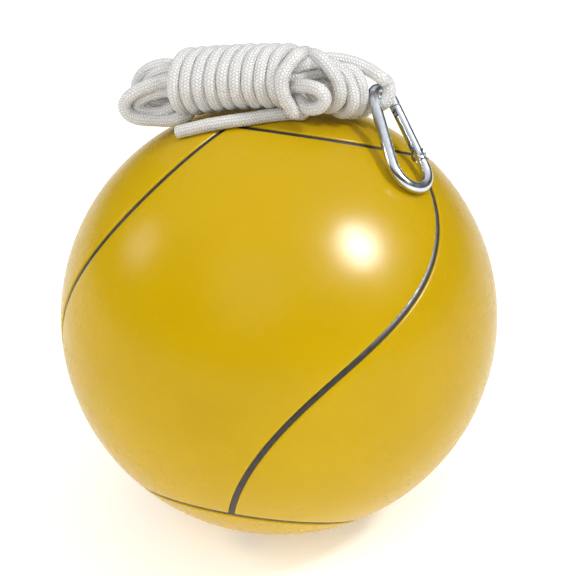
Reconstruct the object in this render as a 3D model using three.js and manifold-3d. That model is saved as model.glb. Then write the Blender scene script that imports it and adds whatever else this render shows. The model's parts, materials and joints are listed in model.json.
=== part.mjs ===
// A tetherball set: an inflated rubber ball with a recessed rope anchor, a braided nylon rope
// wrapped into a hank that lies on top of the ball, and a steel snap hook held in a bight of the rope.
// Millimetres, +Z up. The origin is the ball's lowest point, and -Y is the front of the set.
import * as THREE from 'three';
import { mergeVertices } from 'three/addons/utils/BufferGeometryUtils.js';
import Module from 'manifold-3d';

const wasm = await Module();
wasm.setup();

// ---- driving dimensions ----
const GAP = 0.35; // running gap kept between touching pieces

const BALL_R = 110;
const PANEL_T = 1.3;
const CARCASS_T = 0.8;
const WINDING_T = 0.4;
const BLADDER_T = 0.5;

// The pattern of panels leans back and rolls right, as the ball lies.
const LEAN_BACK_DEG = 22.6;
const ROLL_RIGHT_DEG = 8.7;
const FRONT_ELEVATION_DEG = 27; // longitude 0 of the pattern looks this far above the front
const SIDE_PANELS = 4;
const FIRST_SEAM_LON_DEG = 23.3;
const CAP_TOP_LAT_DEG = 55;
const CAP_BOTTOM_LAT_DEG = -57.8;
const SEAM_SWEEP_DEG = 30.9; // an S seam's longitude is SWEEP * atan(latitude / SOFTNESS)
const SEAM_SOFTNESS_DEG = 35;
const CHANNEL_HALF = 1.45;
const STRIP_RECESS = 0.4;

const COLUMNS = 32; // around the pattern's axis
const CAP_ROWS = 3;
const SIDE_ROWS = 10;
const INNER_COLUMNS = 16;
const COARSE_GAP = 1.4; // between the carcass and the coarser layers inside it

// Anchor recess at the pattern's top pole.
const CUP_INNER_R = 14.5;
const CUP_WALL = 2;
const CUP_DEPTH = 13.3;
const CUP_FLOOR_T = 2;
const CUP_SINK = 0.6; // the cup's rim below the mouth
const LIP_WIDTH = 1;
const LIP_T = 2;
const DENT_ANGLE_DEG = 152; // from the valve round to the edge of the bladder's dent
const DENT_WIDER = 3; // the dent's radius over the cup's
const DENT_BELOW_CUP = 6;
const BAR_WIDTH = 6;
const BAR_T = 3;
const BAR_DROP = 3.3; // the bar's top face below the mouth
const BAR_STEP = 0.9; // the bar's ends are this much lower where they enter the cup's wall
const BAR_PAD_HALF = 13.2; // half the length of the bar at full height

// Valve at the pattern's bottom pole.
const VALVE_R = 5.4;
const VALVE_FLANGE_R = 9;
const VALVE_BORE_R = 2.3;
const VALVE_SINK = 0.7; // the valve's face below the ball's surface
const VALVE_LENGTH_INSIDE = 6; // how far it reaches in past the bladder's wall

// Rope and hank.
const ROPE_R = 3;
const HANK_CENTRE = new THREE.Vector3(-19.5, -0.5, 235.7);
const HANK_TILT_DEG = 10; // the right end is higher
const HANK_TURN_DEG = 15; // the right end is nearer the front
const WRAP_R = 16.2;
const WRAP_LEFT = -31;
const WRAP_RIGHT = 30;
const SLAB_LAP = 6; // how far the left loops run into the wraps
const LEFT_DEPTH = 19;
const RIGHT_DEPTH = 26;
const RIGHT_BACK_Y = 9;

// Snap hook, 60 x 5.5 mm wire, in its own frame: x from nose to bend, y to the gate, z across.
const WIRE_R = 2.75;
const HOOK_NOSE = new THREE.Vector3(48, 1.5, 230.3); // centre of the nose wire
const HOOK_AXIS = new THREE.Vector3(0.3, -0.712, -0.635);
const HOOK_GATE_SIDE = new THREE.Vector3(0.755, 0.584, -0.298);
const NOSE_R = 6.25;
const BEND_R = 10.75;
const BEND_X = 43.75;
const TIP_X = 9;
const GATE_TOP_X = 9.5;
const LATCH_X = 11.9;
const PIVOT_X = 36;
const SHOULDER_X = 39.6;
const TONGUE_T = 2;
const GATE_R = 2.7;
const RIVET_R = 1.2;
const LATCH_PIN_R = 0.9;
const PLUNGER_R = 1.15;
const BORE_R = 1.6;
const BORE_DEEP = -14; // along the gate from its pivot
const BORE_MOUTH = -4;

const rad = THREE.MathUtils.degToRad;
const lerp = THREE.MathUtils.lerp;

// ---- materials ----
function material(color, roughness, metalness = 0) {
  return new THREE.MeshStandardMaterial({ color, roughness, metalness });
}
const yellowRubber = material(0xdcb21c, 0.4);
const blackRubber = material(0x26241f, 0.6);
const innerRubber = material(0x4a4036, 0.8);
const windingNylon = material(0xcfcab8, 0.9);
const bladderRubber = material(0x3a2f2c, 0.7);
const anchorRubber = material(0x1f1e1c, 0.6);
const ropeNylon = material(0xf0efe9, 0.8);
const platedSteel = material(0xb9bec6, 0.25, 1);
const springSteel = material(0x8d9096, 0.35, 1);

// ---- solids ----
function solidFrom(geometry) {
  const bare = geometry.index ? geometry.toNonIndexed() : geometry.clone();
  const merged = mergeVertices(
    new THREE.BufferGeometry().setAttribute('position', bare.getAttribute('position')), 1e-4);
  return new wasm.Manifold(new wasm.Mesh({
    numProp: 3,
    vertProperties: merged.attributes.position.array,
    triVerts: new Uint32Array(merged.index.array),
  }));
}

function geometryFrom(solid) {
  const mesh = solid.getMesh();
  const geometry = new THREE.BufferGeometry();
  geometry.setAttribute('position', new THREE.BufferAttribute(mesh.vertProperties, 3));
  geometry.setIndex(new THREE.BufferAttribute(mesh.triVerts, 1));
  return geometry;
}

function joined(first, ...others) {
  return geometryFrom(others.reduce((sum, g) => sum.add(solidFrom(g)), solidFrom(first)));
}

function cut(first, ...others) {
  return geometryFrom(others.reduce((rest, g) => rest.subtract(solidFrom(g)), solidFrom(first)));
}

// A box from its lowest to its highest corner.
function boxBetween(low, high) {
  const size = high.map((h, i) => h - low[i]);
  return new THREE.BoxGeometry(...size)
    .translate(...high.map((h, i) => (h + low[i]) / 2));
}

// A cylinder along 'x' or 'z' between two places on that axis.
function rod(radius, axis, from, to, sides = 16, across = [0, 0]) {
  const g = new THREE.CylinderGeometry(radius, radius, to - from, sides);
  if (axis === 'x') {
    return g.rotateZ(-Math.PI / 2).translate((from + to) / 2, across[0], across[1]);
  }
  return g.rotateX(Math.PI / 2).translate(across[0], across[1], (from + to) / 2);
}

// A solid of revolution about local Z, from a profile of [radius, z].
function revolved(profile, sides) {
  const points = profile.map(([r, z]) => new THREE.Vector2(r, z));
  return new THREE.LatheGeometry(points, sides).rotateX(Math.PI / 2);
}

function circle(radius, sides) {
  const shape = new THREE.Shape();
  for (let i = 0; i < sides; i++) {
    const a = (2 * Math.PI * i) / sides;
    shape[i ? 'lineTo' : 'moveTo'](radius * Math.cos(a), radius * Math.sin(a));
  }
  return shape;
}

function tube(points, radius, sides, steps) {
  const path = new THREE.CatmullRomCurve3(points.map((p) => new THREE.Vector3(...p)));
  return new THREE.ExtrudeGeometry(circle(radius, sides), {
    steps, bevelEnabled: false, extrudePath: path,
  });
}

// ---- the ball's own coordinates: latitude rows and seam-following columns ----
const capTop = rad(CAP_TOP_LAT_DEG);
const capBottom = rad(CAP_BOTTOM_LAT_DEG);
const panelInnerR = BALL_R - PANEL_T;
const carcassR = panelInnerR - GAP;
const windingR = carcassR - CARCASS_T - COARSE_GAP;
const bladderR = windingR - WINDING_T - GAP;
const bladderInnerR = bladderR - BLADDER_T;
const cupOuterR = CUP_INNER_R + CUP_WALL;
const mouthLat = Math.PI / 2 - Math.asin((cupOuterR + 0.9) / bladderR);
const valveLat = -Math.PI / 2 + Math.asin((VALVE_R + 2 * GAP) / bladderInnerR);

function rows(from, to, count) {
  return Array.from({ length: count + 1 }, (_, i) => lerp(from, to, i / count));
}

const bottomRows = rows(valveLat, capBottom, CAP_ROWS);
const sideRows = rows(capBottom, capTop, SIDE_ROWS);
const topRows = rows(capTop, mouthLat, CAP_ROWS);
const allRows = [...bottomRows, ...sideRows.slice(1), ...topRows.slice(1)];

// How far an S seam has swung, in radians of longitude, at a latitude.
function seamSwing(lat) {
  const held = THREE.MathUtils.clamp(lat, capBottom, capTop);
  return rad(SEAM_SWEEP_DEG) * Math.atan(held / rad(SEAM_SOFTNESS_DEG));
}

// The longitude that spans a distance square to an S seam at a latitude.
function lonAcross(distance, lat) {
  const soft = rad(SEAM_SOFTNESS_DEG);
  const slope = (rad(SEAM_SWEEP_DEG) * soft) / (soft * soft + lat * lat);
  return (distance / (BALL_R * Math.cos(lat))) * Math.hypot(1, Math.cos(lat) * slope);
}

function onBall(lat, lon, radius) {
  const flat = radius * Math.cos(lat);
  return new THREE.Vector3(flat * Math.cos(lon), flat * Math.sin(lon), radius * Math.sin(lat));
}

// A closed shell between two radii over a grid of places. place(i, j) gives [lat, lon] in row i
// and column j. A ring closes on itself. Each quad is split along its shorter diagonal, so that
// shells of the same grid nest without touching.
function shell(rowCount, columnCount, ring, outerR, innerR, place) {
  const across = ring ? columnCount : columnCount + 1;
  const grid = [outerR, innerR].map((radius) => Array.from({ length: rowCount + 1 }, (_, i) =>
    Array.from({ length: across }, (_unused, j) => onBall(...place(i, j), radius))));
  const triangles = [];
  const quad = (a, b, c, d) => {
    if (a.distanceTo(c) <= b.distanceTo(d)) triangles.push(a, b, c, a, c, d);
    else triangles.push(a, b, d, b, c, d);
  };
  const at = (side, i, j) => grid[side][i][j % across];
  for (let i = 0; i < rowCount; i++) {
    for (let j = 0; j < columnCount; j++) {
      quad(at(0, i, j), at(0, i, j + 1), at(0, i + 1, j + 1), at(0, i + 1, j));
      quad(at(1, i, j), at(1, i + 1, j), at(1, i + 1, j + 1), at(1, i, j + 1));
    }
    if (!ring) {
      quad(at(1, i, 0), at(0, i, 0), at(0, i + 1, 0), at(1, i + 1, 0));
      const last = columnCount;
      quad(at(0, i, last), at(1, i, last), at(1, i + 1, last), at(0, i + 1, last));
    }
  }
  for (let j = 0; j < columnCount; j++) {
    quad(at(1, 0, j), at(1, 0, j + 1), at(0, 0, j + 1), at(0, 0, j));
    quad(at(0, rowCount, j), at(0, rowCount, j + 1), at(1, rowCount, j + 1), at(1, rowCount, j));
  }
  return new THREE.BufferGeometry().setFromPoints(triangles);
}

const columnLon = (j, count, lat) =>
  rad(FIRST_SEAM_LON_DEG) + seamSwing(lat) + (2 * Math.PI * j) / count;

// A ring shell through a list of latitudes.
function ringShell(lats, columns, outerR, innerR) {
  return shell(lats.length - 1, columns, true, outerR, innerR,
    (i, j) => [lats[i], columnLon(j, columns, lats[i])]);
}

const halfChannelLat = CHANNEL_HALF / BALL_R;

function capPanel(lats) {
  const inset = lats.map((lat) => {
    if (lat === capTop) return lat + halfChannelLat;
    if (lat === capBottom) return lat - halfChannelLat;
    return lat;
  });
  return shell(inset.length - 1, COLUMNS, true, BALL_R, panelInnerR,
    (i, j) => [inset[i], columnLon(j, COLUMNS, lats[i])]);
}

// The side rows, with the first and last drawn in by a trim.
function trimmedSideRows(trim) {
  return [capBottom + trim, ...sideRows.slice(1, -1), capTop - trim];
}

function sidePanel(index) {
  const perPanel = COLUMNS / SIDE_PANELS;
  const lats = trimmedSideRows(halfChannelLat);
  return shell(SIDE_ROWS, perPanel, false, BALL_R, panelInnerR, (i, j) => {
    const edge = lonAcross(CHANNEL_HALF, lats[i]);
    const lon = columnLon(index * perPanel + j, COLUMNS, lats[i]);
    if (j === 0) return [lats[i], lon + edge];
    if (j === perPanel) return [lats[i], lon - edge];
    return [lats[i], lon];
  });
}

const stripOuterR = BALL_R - STRIP_RECESS;
const stripHalf = CHANNEL_HALF - GAP;

function sideStrip(index) {
  const lats = trimmedSideRows((CHANNEL_HALF + GAP) / BALL_R);
  return shell(SIDE_ROWS, 1, false, stripOuterR, panelInnerR, (i, j) => {
    const reach = lonAcross(stripHalf, lats[i]);
    const seam = columnLon((index * COLUMNS) / SIDE_PANELS, COLUMNS, lats[i]);
    return [lats[i], seam + (j ? reach : -reach)];
  });
}

function ringStrip(lat) {
  const half = stripHalf / BALL_R;
  return shell(1, COLUMNS, true, stripOuterR, panelInnerR,
    (i, j) => [lat + (i ? half : -half), columnLon(j, COLUMNS, lat)]);
}

// ---- inner layers ----
const mouthZ = Math.sqrt(BALL_R ** 2 - cupOuterR ** 2);
const cupTopZ = mouthZ - CUP_SINK;
const cupFloorZ = mouthZ - CUP_DEPTH;
const barTopZ = mouthZ - BAR_DROP;

// Polar angles, measured from the valve, that the two inner layers share up to the anchor's dent.
const layerAngles = rows(Math.PI / 2 + valveLat, rad(DENT_ANGLE_DEG), 8);
const arc = (radius, angles) => angles.map((a) => [radius * Math.sin(a), -radius * Math.cos(a)]);

// A revolved solid whose profile ends on its first point.
function revolvedRing(profile, sides) {
  return revolved([...profile, profile[0]], sides);
}

function winding() {
  const angles = [...layerAngles, Math.PI / 2 + mouthLat];
  const inner = arc(windingR - WINDING_T, angles).reverse();
  return revolvedRing([...arc(windingR, angles), ...inner], INNER_COLUMNS);
}

// The bladder dips in under the anchor cup at the top, and is open at the valve.
function bladder() {
  const dentR = cupOuterR + DENT_WIDER;
  const dentFloor = cupFloorZ - CUP_FLOOR_T - DENT_BELOW_CUP;
  return revolvedRing([
    ...arc(bladderR, layerAngles), [dentR, dentFloor], [0, dentFloor],
    [0, dentFloor - BLADDER_T], [dentR, dentFloor - BLADDER_T],
    ...arc(bladderInnerR, layerAngles).reverse(),
  ], INNER_COLUMNS);
}

function anchorCup() {
  const lipR = cupOuterR + LIP_WIDTH;
  const cup = revolved([
    [0, cupFloorZ - CUP_FLOOR_T], [cupOuterR, cupFloorZ - CUP_FLOOR_T], [cupOuterR, cupTopZ - LIP_T],
    [lipR, cupTopZ - LIP_T], [lipR, cupTopZ], [CUP_INNER_R, cupTopZ],
    [CUP_INNER_R, cupFloorZ], [0, cupFloorZ],
  ], COLUMNS);
  const halfBar = BAR_WIDTH / 2;
  const socket = boxBetween(
    [-lipR, -halfBar - GAP, barTopZ - BAR_T - GAP],
    [lipR, halfBar + GAP, barTopZ - BAR_STEP + GAP]);
  return cut(cup, socket);
}

// The bar stops just short of the cup's outside at each end.
function anchorBar() {
  const reach = cupOuterR - 0.6;
  const halfBar = BAR_WIDTH / 2;
  return joined(
    boxBetween([-reach, -halfBar, barTopZ - BAR_T], [reach, halfBar, barTopZ - BAR_STEP]),
    boxBetween([-BAR_PAD_HALF, -halfBar, barTopZ - BAR_T], [BAR_PAD_HALF, halfBar, barTopZ]));
}

// ---- valve, pointing down from the pattern's bottom pole ----
const valveOuterZ = -(BALL_R - VALVE_SINK);
const valveInnerZ = -(bladderInnerR - VALVE_LENGTH_INSIDE);

function valveHousing() {
  const flangeOuterZ = -(bladderInnerR - 1);
  return revolvedRing([
    [VALVE_BORE_R, valveOuterZ], [VALVE_R, valveOuterZ], [VALVE_R, flangeOuterZ],
    [VALVE_FLANGE_R, flangeOuterZ], [VALVE_FLANGE_R - 0.8, flangeOuterZ + 1.6],
    [VALVE_R, flangeOuterZ + 2.2], [VALVE_R - 1, valveInnerZ], [VALVE_BORE_R, valveInnerZ],
  ], 20);
}

function valveCore() {
  const r = VALVE_BORE_R - GAP;
  return revolved([
    [0, valveOuterZ + 2.5], [0.9, valveOuterZ + 0.6], [r, valveOuterZ + 0.4],
    [r, valveInnerZ - 0.6], [r - 0.6, valveInnerZ], [0, valveInnerZ],
  ], 12);
}

// ---- rope ----
// A slab of rope loops, as deep as it is extruded, from its outline in x and its height.
function loopSlab(outline, depth) {
  return new THREE.ExtrudeGeometry(outline, { depth, bevelEnabled: false, curveSegments: 6 });
}

// The loops that stand out of the wraps' left end, in the hank's own frame.
function leftLoops() {
  const outline = new THREE.Shape();
  outline.moveTo(WRAP_LEFT + SLAB_LAP, 12);
  outline.lineTo(-45, 13);
  outline.quadraticCurveTo(-59, 10, -60, -6);
  outline.quadraticCurveTo(-60, -17, -48, -17.5);
  outline.lineTo(WRAP_LEFT + SLAB_LAP, -15);
  return loopSlab(outline, LEFT_DEPTH).translate(0, 0, -LEFT_DEPTH / 2);
}

// The bights that come out of the wraps' right end, over the ball's right shoulder.
function rightBights() {
  const outline = new THREE.Shape();
  outline.moveTo(8, 253.5);
  outline.lineTo(28, 254);
  outline.lineTo(29.5, 246.4);
  outline.quadraticCurveTo(41, 243, 41, 231);
  outline.quadraticCurveTo(40, 225, 34.5, 224.2);
  outline.lineTo(33, 219.4);
  outline.lineTo(20, 221.6);
  outline.lineTo(8, 224);
  return loopSlab(outline, RIGHT_DEPTH).rotateX(Math.PI / 2).translate(0, RIGHT_BACK_Y, 0);
}

// The hank's own frame: x along it to the right, y up, z to the front.
const hankFrame = new THREE.Matrix4()
  .makeRotationZ(-rad(HANK_TURN_DEG))
  .multiply(new THREE.Matrix4().makeRotationY(-rad(HANK_TILT_DEG)))
  .multiply(new THREE.Matrix4().makeRotationX(Math.PI / 2))
  .setPosition(HANK_CENTRE);

function ropeHank() {
  const wraps = rod(WRAP_R, 'x', WRAP_LEFT, WRAP_RIGHT, 28);
  return joined(
    wraps.applyMatrix4(hankFrame), leftLoops().applyMatrix4(hankFrame), rightBights());
}

const tailRoute = [
  [-6.5, -13.9, 221.6], [-14.1, -14.6, 221.2], [-23.1, -14.2, 219.7],
  [-32.2, -12.6, 217.4], [-39.8, -11.2, 215], [-47.1, -9, 212.2],
];

const clipRoute = [
  [35.6, 5, 220.1], [41.4, 2, 220.9], [47.57, -1.34, 223.5], [49.87, -2.95, 226.33],
  [52.2, -4.5, 229.2], [53.3, -4.7, 235], [49.5, -5.2, 242.4], [41.5, -6.5, 247.7],
  [30.4, -7.3, 250.2],
];

// ---- snap hook ----
// Where the straight legs meet the nose and bend arcs.
const legSine = (BEND_R - NOSE_R) / (BEND_X - NOSE_R);
const legAngle = Math.asin(legSine);

// A place on the gate side's centre line.
function gateLine(x) {
  const start = NOSE_R - NOSE_R * legSine;
  return NOSE_R * Math.cos(legAngle) + (x - start) * Math.tan(legAngle);
}

function arcPoints(centreX, radius, from, to, count) {
  return rows(from, to, count)
    .map((a) => [centreX - radius * Math.cos(a), radius * Math.sin(a), 0]);
}

// Turned to lie along the gate's line, with its pivot at the origin.
function alongGate(geometry) {
  return geometry.rotateZ(legAngle).translate(PIVOT_X, gateLine(PIVOT_X), 0);
}

const tipReach = (PIVOT_X - TIP_X) / Math.cos(legAngle);
const latchReach = (PIVOT_X - LATCH_X) / Math.cos(legAngle);
const gateReach = (PIVOT_X - GATE_TOP_X) / Math.cos(legAngle);
const shoulderReach = (SHOULDER_X - PIVOT_X) / Math.cos(legAngle);

// The slots, holes and notch are cut to these clearances. Lengths run along the gate from its pivot.
const slotHalf = TONGUE_T / 2 + GAP;
const tongueHalf = TONGUE_T / 2;
const rivetHoleR = RIVET_R + GAP;
const pinHoleR = LATCH_PIN_R + GAP;
const THROUGH = 4; // reaches past the gate on both sides
const EYE_SLOT = 4.4;
const EYE_TONGUE = 3.3;
const TONGUE_HALF_WIDTH = 2.2;
const TIP_SLOT = 2.8;
const TIP_TONGUE = 1.9;
const TONGUE_ROOT = 0.6; // how far a tongue runs into the wire it grows from
const RIVET_HALF = 3.9;
const RIVET_HEAD_R = 2.1;
const LATCH_PIN_HALF = 2.6;
const PLUNGER_NOSE = -3.7;
const PLUNGER_HEAD = -6.4;
const SPRING_END = -13.6;
const SPRING_START = -6.9;
const SPRING_R = 0.95;
const SPRING_WIRE_R = 0.25;
const SPRING_TURNS = 7;
const STEPS_PER_TURN = 8;

function hookBody() {
  const quarter = Math.PI / 2;
  const spineMiddle = BEND_X / 2;
  const route = [
    [TIP_X, gateLine(TIP_X), 0],
    ...arcPoints(NOSE_R, NOSE_R, quarter - legAngle, -quarter + legAngle, 8),
    [spineMiddle, -gateLine(spineMiddle), 0],
    ...arcPoints(BEND_X, BEND_R, -quarter + legAngle, -3 * quarter - legAngle, 12),
    [SHOULDER_X, gateLine(SHOULDER_X), 0],
  ];
  const wire = tube(route, WIRE_R, 12, 56);
  const pivotTongue = boxBetween(
    [-EYE_TONGUE, -TONGUE_HALF_WIDTH, -tongueHalf],
    [shoulderReach + TONGUE_ROOT, TONGUE_HALF_WIDTH, tongueHalf]);
  const tipTongue = boxBetween(
    [-tipReach - TONGUE_ROOT, -TONGUE_HALF_WIDTH, -tongueHalf],
    [-latchReach + TIP_TONGUE, TONGUE_HALF_WIDTH, tongueHalf]);
  const rivetHole = rod(rivetHoleR, 'z', -THROUGH, THROUGH, 14);
  const notch = boxBetween(
    [-latchReach - pinHoleR, -THROUGH, -THROUGH], [-latchReach + pinHoleR, pinHoleR, THROUGH]);
  return cut(joined(wire, alongGate(pivotTongue), alongGate(tipTongue)),
    alongGate(rivetHole), alongGate(notch));
}

function hookGate() {
  const barrel = rod(GATE_R, 'x', -gateReach, 0, 16);
  const eye = rod(GATE_R, 'z', -GATE_R, GATE_R, 16);
  const eyeSlot = boxBetween([-EYE_SLOT, -THROUGH, -slotHalf], [THROUGH, THROUGH, slotHalf]);
  const tipSlot = boxBetween(
    [-gateReach - 1, -THROUGH, -slotHalf], [-latchReach + TIP_SLOT, THROUGH, slotHalf]);
  const rivetHole = rod(rivetHoleR, 'z', -THROUGH, THROUGH, 14);
  const pinHole = rod(pinHoleR, 'z', -THROUGH, THROUGH, 12, [-latchReach, 0]);
  const bore = rod(BORE_R, 'x', BORE_DEEP, BORE_MOUTH, 12);
  return alongGate(cut(joined(barrel, eye), eyeSlot, tipSlot, rivetHole, pinHole, bore));
}

function gateRivet() {
  const inside = GATE_R + GAP;
  return alongGate(joined(
    rod(RIVET_R, 'z', -RIVET_HALF, RIVET_HALF, 14),
    rod(RIVET_HEAD_R, 'z', -RIVET_HALF, -inside, 16),
    rod(RIVET_HEAD_R, 'z', inside, RIVET_HALF, 16)));
}

function latchPin() {
  return alongGate(
    rod(LATCH_PIN_R, 'z', -LATCH_PIN_HALF, LATCH_PIN_HALF, 12, [-latchReach, 0]));
}

function plunger() {
  return alongGate(rod(PLUNGER_R, 'x', PLUNGER_HEAD, PLUNGER_NOSE, 12));
}

function gateSpring() {
  const points = rows(0, SPRING_TURNS, SPRING_TURNS * STEPS_PER_TURN).map((turn) => {
    const a = 2 * Math.PI * turn;
    const x = lerp(SPRING_END, SPRING_START, turn / SPRING_TURNS);
    return [x, SPRING_R * Math.cos(a), SPRING_R * Math.sin(a)];
  });
  return alongGate(tube(points, SPRING_WIRE_R, 5, SPRING_TURNS * STEPS_PER_TURN));
}

// ---- assembly ----
const group = new THREE.Group();

function add(parent, name, geometry, mat) {
  const mesh = new THREE.Mesh(geometry, mat);
  mesh.name = name;
  parent.add(mesh);
}

// The ball turns about its centre so that the pattern's axis leans back and rolls right.
const lean = rad(LEAN_BACK_DEG);
const roll = rad(ROLL_RIGHT_DEG);
const patternAxis = new THREE.Vector3(
  Math.sin(roll), Math.cos(roll) * Math.sin(lean), Math.cos(roll) * Math.cos(lean));
const front = rad(FRONT_ELEVATION_DEG);
const zeroLon = new THREE.Vector3(0, -Math.cos(front), Math.sin(front));
zeroLon.addScaledVector(patternAxis, -zeroLon.dot(patternAxis)).normalize();
const ball = new THREE.Group();
ball.applyMatrix4(new THREE.Matrix4().makeBasis(
  zeroLon, new THREE.Vector3().crossVectors(patternAxis, zeroLon), patternAxis)
  .setPosition(0, 0, BALL_R));
group.add(ball);

add(ball, 'cover_cap_top', capPanel(topRows), yellowRubber);
add(ball, 'cover_cap_bottom', capPanel(bottomRows), yellowRubber);
for (let i = 0; i < SIDE_PANELS; i++) {
  add(ball, `cover_side_${i + 1}`, sidePanel(i), yellowRubber);
  add(ball, `seam_strip_${i + 1}`, sideStrip(i), blackRubber);
}
add(ball, 'seam_ring_top', ringStrip(capTop), blackRubber);
add(ball, 'seam_ring_bottom', ringStrip(capBottom), blackRubber);
add(ball, 'carcass', ringShell(allRows, COLUMNS, carcassR, carcassR - CARCASS_T), innerRubber);
add(ball, 'nylon_winding', winding(), windingNylon);
add(ball, 'bladder', bladder(), bladderRubber);
add(ball, 'anchor_cup', anchorCup(), anchorRubber);
add(ball, 'anchor_bar', anchorBar(), platedSteel);
add(ball, 'valve_housing', valveHousing(), anchorRubber);
add(ball, 'valve_core', valveCore(), blackRubber);

add(group, 'rope_hank', ropeHank(), ropeNylon);
add(group, 'rope_tail', tube(tailRoute, ROPE_R, 10, 14), ropeNylon);
add(group, 'rope_clip_bight', tube(clipRoute, ROPE_R, 10, 26), ropeNylon);

const hook = new THREE.Group();
const hookX = HOOK_AXIS.clone().normalize();
const hookY = HOOK_GATE_SIDE.clone().addScaledVector(hookX, -HOOK_GATE_SIDE.dot(hookX)).normalize();
hook.applyMatrix4(new THREE.Matrix4()
  .makeBasis(hookX, hookY, new THREE.Vector3().crossVectors(hookX, hookY))
  .setPosition(HOOK_NOSE));
group.add(hook);

add(hook, 'hook_body', hookBody(), platedSteel);
add(hook, 'hook_gate', hookGate(), platedSteel);
add(hook, 'gate_rivet', gateRivet(), platedSteel);
add(hook, 'latch_pin', latchPin(), platedSteel);
add(hook, 'gate_plunger', plunger(), springSteel);
add(hook, 'gate_spring', gateSpring(), springSteel);

export default group;
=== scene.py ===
"""A tetherball with its rope wrapped into a hank on top and a snap hook held in the rope.

Metres, in the part's frame. The camera and the rope come first, then the ball, the hook, the
materials, the floor and the lights.
"""

import json
import math

import bmesh
import bpy
import numpy as np
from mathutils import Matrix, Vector


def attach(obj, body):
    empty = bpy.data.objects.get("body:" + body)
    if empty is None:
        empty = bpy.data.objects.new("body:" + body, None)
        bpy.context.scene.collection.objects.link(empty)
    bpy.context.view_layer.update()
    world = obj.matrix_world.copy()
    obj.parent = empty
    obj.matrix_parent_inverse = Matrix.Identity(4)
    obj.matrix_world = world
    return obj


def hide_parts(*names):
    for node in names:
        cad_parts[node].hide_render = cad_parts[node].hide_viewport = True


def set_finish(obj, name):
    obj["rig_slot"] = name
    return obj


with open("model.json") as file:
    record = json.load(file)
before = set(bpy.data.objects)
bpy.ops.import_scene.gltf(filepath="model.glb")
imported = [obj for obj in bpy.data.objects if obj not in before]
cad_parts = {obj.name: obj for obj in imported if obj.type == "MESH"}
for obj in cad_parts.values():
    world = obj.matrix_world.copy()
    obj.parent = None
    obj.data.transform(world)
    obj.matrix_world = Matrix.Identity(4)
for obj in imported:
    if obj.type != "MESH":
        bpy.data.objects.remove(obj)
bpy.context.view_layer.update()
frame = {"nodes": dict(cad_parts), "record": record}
scene = bpy.context.scene
MM = 0.001

# ---- camera ----
BALL_R = 0.110
BALL_CENTRE = np.array([0.0, 0.0, BALL_R])
ELEVATION = math.radians(27)
DISTANCE = 0.847
VIEW_UP = np.array([0.0, math.sin(ELEVATION), math.cos(ELEVATION)])
VIEW_BACK = np.array([0.0, -math.cos(ELEVATION), math.sin(ELEVATION)])
AIM = BALL_CENTRE + np.array([0.0045, 0.0, 0.0]) + 0.0141 * VIEW_UP


def make_camera():
    data = bpy.data.cameras.new("camera")
    data.lens = 104.2
    data.sensor_width = 36
    camera = bpy.data.objects.new("camera", data)
    scene.collection.objects.link(camera)
    place = Vector(BALL_CENTRE + DISTANCE * VIEW_BACK)
    camera.location = place
    camera.rotation_mode = "QUATERNION"
    camera.rotation_quaternion = (Vector(AIM) - place).to_track_quat("-Z", "Y")
    scene.camera = camera


make_camera()


# ---- mesh helpers ----
def mesh_object(name, verts, faces, smooth=True, uvs=None):
    """A mesh object from vertices and faces. uvs gives one (u, v) for each face corner."""
    mesh = bpy.data.meshes.new(name)
    mesh.from_pydata([tuple(v) for v in verts], [], [tuple(int(i) for i in f) for f in faces])
    if uvs is not None:
        layer = mesh.uv_layers.new(name="UVMap")
        layer.data.foreach_set("uv", np.asarray(uvs, np.float32).ravel())
    mesh.polygons.foreach_set("use_smooth", [smooth] * len(mesh.polygons))
    mesh.update()
    obj = bpy.data.objects.new(name, mesh)
    scene.collection.objects.link(obj)
    return obj


def catmull(points, per_span):
    """A centripetal Catmull-Rom curve through points."""
    p = np.array(points, float)
    p = np.vstack([2 * p[0] - p[1], p, 2 * p[-1] - p[-2]])
    out = []
    for i in range(1, len(p) - 2):
        p0, p1, p2, p3 = p[i - 1 : i + 3]
        t1 = np.linalg.norm(p1 - p0) ** 0.5
        t2 = t1 + np.linalg.norm(p2 - p1) ** 0.5
        t3 = t2 + np.linalg.norm(p3 - p2) ** 0.5
        for t in np.linspace(t1, t2, per_span, endpoint=False):
            a1 = (t1 - t) / t1 * p0 + t / t1 * p1
            a2 = (t2 - t) / (t2 - t1) * p1 + (t - t1) / (t2 - t1) * p2
            a3 = (t3 - t) / (t3 - t2) * p2 + (t - t2) / (t3 - t2) * p3
            b1 = (t2 - t) / t2 * a1 + t / t2 * a2
            b2 = (t3 - t) / (t3 - t1) * a2 + (t - t1) / (t3 - t1) * a3
            out.append((t2 - t) / (t2 - t1) * b1 + (t - t1) / (t2 - t1) * b2)
    out.append(p[-2])
    return np.array(out)


def evenly(points, step):
    """The line again with points step apart, and how far along each one is."""
    p = np.asarray(points, float)
    along = np.concatenate([[0], np.cumsum(np.linalg.norm(np.diff(p, axis=0), axis=1))])
    at = np.linspace(0, along[-1], int(math.ceil(along[-1] / step)) + 1)
    return np.stack([np.interp(at, along, p[:, k]) for k in range(3)], axis=1), at


def carried_frames(line, first_side=None):
    """Two unit vectors square to the line at each point, turning as little as possible."""
    tangent = np.gradient(line, axis=0)
    tangent /= np.linalg.norm(tangent, axis=1)[:, None]
    side = np.array([0.0, 0.0, 1.0]) if first_side is None else np.array(first_side, float)
    if abs(side @ tangent[0]) > 0.95 * np.linalg.norm(side):
        side = np.array([0.0, 1.0, 0.0])
    one = np.empty_like(line)
    for i, t in enumerate(tangent):
        side = side - (side @ t) * t
        side /= np.linalg.norm(side)
        one[i] = side
    return tangent, one, np.cross(tangent, one)


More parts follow.
